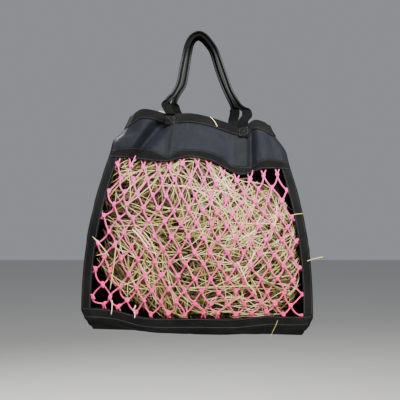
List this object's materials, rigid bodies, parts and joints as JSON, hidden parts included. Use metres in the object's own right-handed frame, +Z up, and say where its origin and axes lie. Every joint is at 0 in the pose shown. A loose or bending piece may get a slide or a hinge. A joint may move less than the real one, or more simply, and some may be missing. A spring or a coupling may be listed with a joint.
{
  "type": "hay bag with net front",
  "caption": "Hanging slow-feed hay bag: woven black bag, knotted twine net across the front, two folded webbing handles, filled with hay.",
  "frame": {"origin": "the point on the wall peg that the handles hang on, at the underside of their top", "axes": "+Z up, +Y towards the wall behind the bag, +X to the right as the net is seen from the front"},
  "size_m": [0.5565, 0.1761, 0.7646],
  "materials": {
    "bag_fabric": "matt black woven synthetic, dusty",
    "yoke_fabric": "slate-black coated woven synthetic with a satin sheen",
    "webbing": "black ribbed polypropylene webbing, matt",
    "net_twine": "braided pink nylon twine, slightly glossy",
    "hay": "dry grass stems, matt, straw yellow to olive"
  },
  "bodies": {
    "bag": {"back_panel": "bag_fabric", "left_gusset": "bag_fabric", "right_gusset": "bag_fabric", "base_panel": "bag_fabric", "front_yoke": "yoke_fabric", "front_mouth_binding": "webbing", "back_mouth_binding": "webbing", "left_mouth_binding": "webbing", "right_mouth_binding": "webbing", "net_header_tape": "webbing", "left_net_tape": "webbing", "right_net_tape": "webbing", "bottom_net_tape": "webbing", "left_back_seam_binding": "webbing", "right_back_seam_binding": "webbing", "back_base_seam_binding": "webbing", "front_left_reinforcement": "yoke_fabric", "front_right_reinforcement": "yoke_fabric", "feeding_net": "net_twine", "hay_fill": "hay", "front_handle_left_end": "webbing", "front_handle_right_end": "webbing", "back_handle_left_end": "webbing", "back_handle_right_end": "webbing"},
    "front_handle": {"front_handle_loop": "webbing"},
    "back_handle": {"back_handle_loop": "webbing"}
  },
  "joints": [
    {"name": "front_handle_swing", "type": "hinge", "parent": "bag", "child": "front_handle", "pos_m": [0.02175, -0.0474, -0.19717], "axis": [0.995, 0, -0.0995], "range_deg": [0, 140]},
    {"name": "back_handle_swing", "type": "hinge", "parent": "bag", "child": "back_handle", "pos_m": [0.0205, 0.03215, -0.19205], "axis": [-0.995, 0, 0.0995], "range_deg": [0, 140]}
  ]
}
